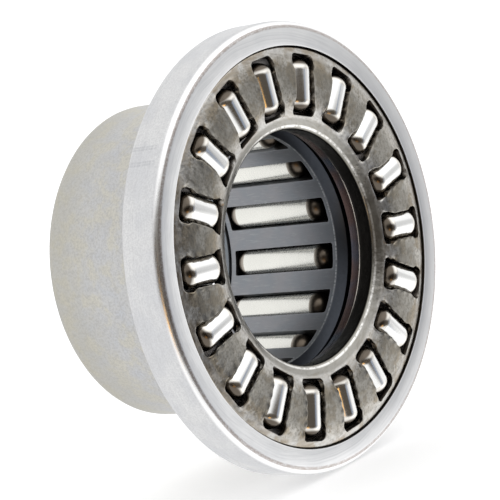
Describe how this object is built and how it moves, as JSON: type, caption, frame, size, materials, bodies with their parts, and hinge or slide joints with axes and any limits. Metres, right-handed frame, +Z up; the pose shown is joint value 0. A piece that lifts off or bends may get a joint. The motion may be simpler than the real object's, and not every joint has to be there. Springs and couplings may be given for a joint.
{
  "type": "needle roller bearing",
  "caption": "Combined needle and thrust roller bearing: a flanged sleeve with a caged needle row, and a caged radial roller row held on its flange by a pressed cap.",
  "frame": {"origin": "centre of the whole bearing, on the shaft's axis, half way between the thrust rollers' tops and the sleeve's rear end", "axes": "+Y along the shaft's axis from the thrust side towards the needle sleeve, +Z up"},
  "size_m": [0.0292, 0.0138, 0.0292],
  "materials": {
    "sleeve_steel": "satin, fine drawn grain",
    "washer_steel": "heat-tinted blue steel, ground faces",
    "cap_steel": "bright satin pressed sheet",
    "thrust_cage_steel": "pressed sheet, satin with rub marks",
    "needle_cage_steel": "slate satin with faint heat tint",
    "thrust_roller_steel": "polished, ground",
    "needle_roller_steel": "ground, fine satin"
  },
  "bodies": {
    "housing_ring": {"sleeve": "sleeve_steel", "thrust_washer": "washer_steel", "retaining_cap": "cap_steel"},
    "thrust_cage_ring": {"thrust_cage": "thrust_cage_steel"},
    "needle_cage_ring": {"needle_cage": "needle_cage_steel"},
    "thrust_roller_01": {"thrust_roller_01": "thrust_roller_steel"},
    "thrust_roller_02": {"thrust_roller_02": "thrust_roller_steel"},
    "thrust_roller_03": {"thrust_roller_03": "thrust_roller_steel"},
    "thrust_roller_04": {"thrust_roller_04": "thrust_roller_steel"},
    "thrust_roller_05": {"thrust_roller_05": "thrust_roller_steel"},
    "thrust_roller_06": {"thrust_roller_06": "thrust_roller_steel"},
    "thrust_roller_07": {"thrust_roller_07": "thrust_roller_steel"},
    "thrust_roller_08": {"thrust_roller_08": "thrust_roller_steel"},
    "thrust_roller_09": {"thrust_roller_09": "thrust_roller_steel"},
    "thrust_roller_10": {"thrust_roller_10": "thrust_roller_steel"},
    "thrust_roller_11": {"thrust_roller_11": "thrust_roller_steel"},
    "thrust_roller_12": {"thrust_roller_12": "thrust_roller_steel"},
    "thrust_roller_13": {"thrust_roller_13": "thrust_roller_steel"},
    "thrust_roller_14": {"thrust_roller_14": "thrust_roller_steel"},
    "thrust_roller_15": {"thrust_roller_15": "thrust_roller_steel"},
    "thrust_roller_16": {"thrust_roller_16": "thrust_roller_steel"},
    "thrust_roller_17": {"thrust_roller_17": "thrust_roller_steel"},
    "thrust_roller_18": {"thrust_roller_18": "thrust_roller_steel"},
    "needle_roller_01": {"needle_roller_01": "needle_roller_steel"},
    "needle_roller_02": {"needle_roller_02": "needle_roller_steel"},
    "needle_roller_03": {"needle_roller_03": "needle_roller_steel"},
    "needle_roller_04": {"needle_roller_04": "needle_roller_steel"},
    "needle_roller_05": {"needle_roller_05": "needle_roller_steel"},
    "needle_roller_06": {"needle_roller_06": "needle_roller_steel"},
    "needle_roller_07": {"needle_roller_07": "needle_roller_steel"},
    "needle_roller_08": {"needle_roller_08": "needle_roller_steel"},
    "needle_roller_09": {"needle_roller_09": "needle_roller_steel"},
    "needle_roller_10": {"needle_roller_10": "needle_roller_steel"},
    "needle_roller_11": {"needle_roller_11": "needle_roller_steel"},
    "needle_roller_12": {"needle_roller_12": "needle_roller_steel"},
    "needle_roller_13": {"needle_roller_13": "needle_roller_steel"},
    "needle_roller_14": {"needle_roller_14": "needle_roller_steel"},
    "needle_roller_15": {"needle_roller_15": "needle_roller_steel"}
  },
  "joints": [
    {"name": "thrust_cage_spin", "type": "hinge", "parent": "housing_ring", "child": "thrust_cage_ring", "pos_m": [0, 0, 0], "axis": [0, 1, 0], "continuous": true},
    {"name": "needle_cage_spin", "type": "hinge", "parent": "housing_ring", "child": "needle_cage_ring", "pos_m": [0, 0, 0], "axis": [0, 1, 0], "continuous": true},
    {"name": "thrust_roller_01_spin", "type": "hinge", "parent": "thrust_cage_ring", "child": "thrust_roller_01", "pos_m": [-0.00083, -0.00588, 0.01044], "axis": [-0.0797, 0, 0.9968], "continuous": true},
    {"name": "thrust_roller_02_spin", "type": "hinge", "parent": "thrust_cage_ring", "child": "thrust_roller_02", "pos_m": [0.00279, -0.00588, 0.01009], "axis": [0.2661, 0, 0.964], "continuous": true},
    {"name": "thrust_roller_03_spin", "type": "hinge", "parent": "thrust_cage_ring", "child": "thrust_roller_03", "pos_m": [0.00607, -0.00588, 0.00853], "axis": [0.5797, 0, 0.8148], "continuous": true},
    {"name": "thrust_roller_04_spin", "type": "hinge", "parent": "thrust_cage_ring", "child": "thrust_roller_04", "pos_m": [0.00862, -0.00588, 0.00594], "axis": [0.8234, 0, 0.5674], "continuous": true},
    {"name": "thrust_roller_05_spin", "type": "hinge", "parent": "thrust_cage_ring", "child": "thrust_roller_05", "pos_m": [0.01013, -0.00588, 0.00263], "axis": [0.9678, 0, 0.2516], "continuous": true},
    {"name": "thrust_roller_06_spin", "type": "hinge", "parent": "thrust_cage_ring", "child": "thrust_roller_06", "pos_m": [0.01042, -0.00588, -0.00099], "axis": [0.9955, 0, -0.0946], "continuous": true},
    {"name": "thrust_roller_07_spin", "type": "hinge", "parent": "thrust_cage_ring", "child": "thrust_roller_07", "pos_m": [0.00946, -0.00588, -0.0045], "axis": [0.9031, 0, -0.4294], "continuous": true},
    {"name": "thrust_roller_08_spin", "type": "hinge", "parent": "thrust_cage_ring", "child": "thrust_roller_08", "pos_m": [0.00735, -0.00588, -0.00746], "axis": [0.7018, 0, -0.7124], "continuous": true},
    {"name": "thrust_roller_09_spin", "type": "hinge", "parent": "thrust_cage_ring", "child": "thrust_roller_09", "pos_m": [0.00435, -0.00588, -0.00952], "axis": [0.4158, 0, -0.9095], "continuous": true},
    {"name": "thrust_roller_10_spin", "type": "hinge", "parent": "thrust_cage_ring", "child": "thrust_roller_10", "pos_m": [0.00083, -0.00588, -0.01044], "axis": [0.0797, 0, -0.9968], "continuous": true},
    {"name": "thrust_roller_11_spin", "type": "hinge", "parent": "thrust_cage_ring", "child": "thrust_roller_11", "pos_m": [-0.00279, -0.00588, -0.01009], "axis": [-0.2661, 0, -0.964], "continuous": true},
    {"name": "thrust_roller_12_spin", "type": "hinge", "parent": "thrust_cage_ring", "child": "thrust_roller_12", "pos_m": [-0.00607, -0.00588, -0.00853], "axis": [-0.5797, 0, -0.8148], "continuous": true},
    {"name": "thrust_roller_13_spin", "type": "hinge", "parent": "thrust_cage_ring", "child": "thrust_roller_13", "pos_m": [-0.00862, -0.00588, -0.00594], "axis": [-0.8234, 0, -0.5674], "continuous": true},
    {"name": "thrust_roller_14_spin", "type": "hinge", "parent": "thrust_cage_ring", "child": "thrust_roller_14", "pos_m": [-0.01013, -0.00588, -0.00263], "axis": [-0.9678, 0, -0.2516], "continuous": true},
    {"name": "thrust_roller_15_spin", "type": "hinge", "parent": "thrust_cage_ring", "child": "thrust_roller_15", "pos_m": [-0.01042, -0.00588, 0.00099], "axis": [-0.9955, 0, 0.0946], "continuous": true},
    {"name": "thrust_roller_16_spin", "type": "hinge", "parent": "thrust_cage_ring", "child": "thrust_roller_16", "pos_m": [-0.00946, -0.00588, 0.0045], "axis": [-0.9031, 0, 0.4294], "continuous": true},
    {"name": "thrust_roller_17_spin", "type": "hinge", "parent": "thrust_cage_ring", "child": "thrust_roller_17", "pos_m": [-0.00735, -0.00588, 0.00746], "axis": [-0.7018, 0, 0.7124], "continuous": true},
    {"name": "thrust_roller_18_spin", "type": "hinge", "parent": "thrust_cage_ring", "child": "thrust_roller_18", "pos_m": [-0.00435, -0.00588, 0.00952], "axis": [-0.4158, 0, 0.9095], "continuous": true},
    {"name": "needle_roller_01_spin", "type": "hinge", "parent": "needle_cage_ring", "child": "needle_roller_01", "pos_m": [-0.00204, 0.002, 0.00825], "axis": [0, 1, 0], "continuous": true},
    {"name": "needle_roller_02_spin", "type": "hinge", "parent": "needle_cage_ring", "child": "needle_roller_02", "pos_m": [0.00149, 0.002, 0.00837], "axis": [0, 1, 0], "continuous": true},
    {"name": "needle_roller_03_spin", "type": "hinge", "parent": "needle_cage_ring", "child": "needle_roller_03", "pos_m": [0.00477, 0.002, 0.00704], "axis": [0, 1, 0], "continuous": true},
    {"name": "needle_roller_04_spin", "type": "hinge", "parent": "needle_cage_ring", "child": "needle_roller_04", "pos_m": [0.00722, 0.002, 0.00449], "axis": [0, 1, 0], "continuous": true},
    {"name": "needle_roller_05_spin", "type": "hinge", "parent": "needle_cage_ring", "child": "needle_roller_05", "pos_m": [0.00842, 0.002, 0.00117], "axis": [0, 1, 0], "continuous": true},
    {"name": "needle_roller_06_spin", "type": "hinge", "parent": "needle_cage_ring", "child": "needle_roller_06", "pos_m": [0.00817, 0.002, -0.00236], "axis": [0, 1, 0], "continuous": true},
    {"name": "needle_roller_07_spin", "type": "hinge", "parent": "needle_cage_ring", "child": "needle_roller_07", "pos_m": [0.0065, 0.002, -0.00548], "axis": [0, 1, 0], "continuous": true},
    {"name": "needle_roller_08_spin", "type": "hinge", "parent": "needle_cage_ring", "child": "needle_roller_08", "pos_m": [0.00371, 0.002, -0.00765], "axis": [0, 1, 0], "continuous": true},
    {"name": "needle_roller_09_spin", "type": "hinge", "parent": "needle_cage_ring", "child": "needle_roller_09", "pos_m": [0.00028, 0.002, -0.0085], "axis": [0, 1, 0], "continuous": true},
    {"name": "needle_roller_10_spin", "type": "hinge", "parent": "needle_cage_ring", "child": "needle_roller_10", "pos_m": [-0.0032, 0.002, -0.00788], "axis": [0, 1, 0], "continuous": true},
    {"name": "needle_roller_11_spin", "type": "hinge", "parent": "needle_cage_ring", "child": "needle_roller_11", "pos_m": [-0.00612, 0.002, -0.00589], "axis": [0, 1, 0], "continuous": true},
    {"name": "needle_roller_12_spin", "type": "hinge", "parent": "needle_cage_ring", "child": "needle_roller_12", "pos_m": [-0.00799, 0.002, -0.00289], "axis": [0, 1, 0], "continuous": true},
    {"name": "needle_roller_13_spin", "type": "hinge", "parent": "needle_cage_ring", "child": "needle_roller_13", "pos_m": [-0.00848, 0.002, 0.00061], "axis": [0, 1, 0], "continuous": true},
    {"name": "needle_roller_14_spin", "type": "hinge", "parent": "needle_cage_ring", "child": "needle_roller_14", "pos_m": [-0.0075, 0.002, 0.004], "axis": [0, 1, 0], "continuous": true},
    {"name": "needle_roller_15_spin", "type": "hinge", "parent": "needle_cage_ring", "child": "needle_roller_15", "pos_m": [-0.00522, 0.002, 0.00671], "axis": [0, 1, 0], "continuous": true}
  ],
  "couplings": [
    {"joint": "thrust_roller_01_spin", "follows": "thrust_cage_spin", "ratio": 10.47},
    {"joint": "thrust_roller_02_spin", "follows": "thrust_cage_spin", "ratio": 10.47},
    {"joint": "thrust_roller_03_spin", "follows": "thrust_cage_spin", "ratio": 10.47},
    {"joint": "thrust_roller_04_spin", "follows": "thrust_cage_spin", "ratio": 10.47},
    {"joint": "thrust_roller_05_spin", "follows": "thrust_cage_spin", "ratio": 10.47},
    {"joint": "thrust_roller_06_spin", "follows": "thrust_cage_spin", "ratio": 10.47},
    {"joint": "thrust_roller_07_spin", "follows": "thrust_cage_spin", "ratio": 10.47},
    {"joint": "thrust_roller_08_spin", "follows": "thrust_cage_spin", "ratio": 10.47},
    {"joint": "thrust_roller_09_spin", "follows": "thrust_cage_spin", "ratio": 10.47},
    {"joint": "thrust_roller_10_spin", "follows": "thrust_cage_spin", "ratio": 10.47},
    {"joint": "thrust_roller_11_spin", "follows": "thrust_cage_spin", "ratio": 10.47},
    {"joint": "thrust_roller_12_spin", "follows": "thrust_cage_spin", "ratio": 10.47},
    {"joint": "thrust_roller_13_spin", "follows": "thrust_cage_spin", "ratio": 10.47},
    {"joint": "thrust_roller_14_spin", "follows": "thrust_cage_spin", "ratio": 10.47},
    {"joint": "thrust_roller_15_spin", "follows": "thrust_cage_spin", "ratio": 10.47},
    {"joint": "thrust_roller_16_spin", "follows": "thrust_cage_spin", "ratio": 10.47},
    {"joint": "thrust_roller_17_spin", "follows": "thrust_cage_spin", "ratio": 10.47},
    {"joint": "thrust_roller_18_spin", "follows": "thrust_cage_spin", "ratio": 10.47},
    {"joint": "needle_roller_01_spin", "follows": "needle_cage_spin", "ratio": -9.5},
    {"joint": "needle_roller_02_spin", "follows": "needle_cage_spin", "ratio": -9.5},
    {"joint": "needle_roller_03_spin", "follows": "needle_cage_spin", "ratio": -9.5},
    {"joint": "needle_roller_04_spin", "follows": "needle_cage_spin", "ratio": -9.5},
    {"joint": "needle_roller_05_spin", "follows": "needle_cage_spin", "ratio": -9.5},
    {"joint": "needle_roller_06_spin", "follows": "needle_cage_spin", "ratio": -9.5},
    {"joint": "needle_roller_07_spin", "follows": "needle_cage_spin", "ratio": -9.5},
    {"joint": "needle_roller_08_spin", "follows": "needle_cage_spin", "ratio": -9.5},
    {"joint": "needle_roller_09_spin", "follows": "needle_cage_spin", "ratio": -9.5},
    {"joint": "needle_roller_10_spin", "follows": "needle_cage_spin", "ratio": -9.5},
    {"joint": "needle_roller_11_spin", "follows": "needle_cage_spin", "ratio": -9.5},
    {"joint": "needle_roller_12_spin", "follows": "needle_cage_spin", "ratio": -9.5},
    {"joint": "needle_roller_13_spin", "follows": "needle_cage_spin", "ratio": -9.5},
    {"joint": "needle_roller_14_spin", "follows": "needle_cage_spin", "ratio": -9.5},
    {"joint": "needle_roller_15_spin", "follows": "needle_cage_spin", "ratio": -9.5}
  ]
}
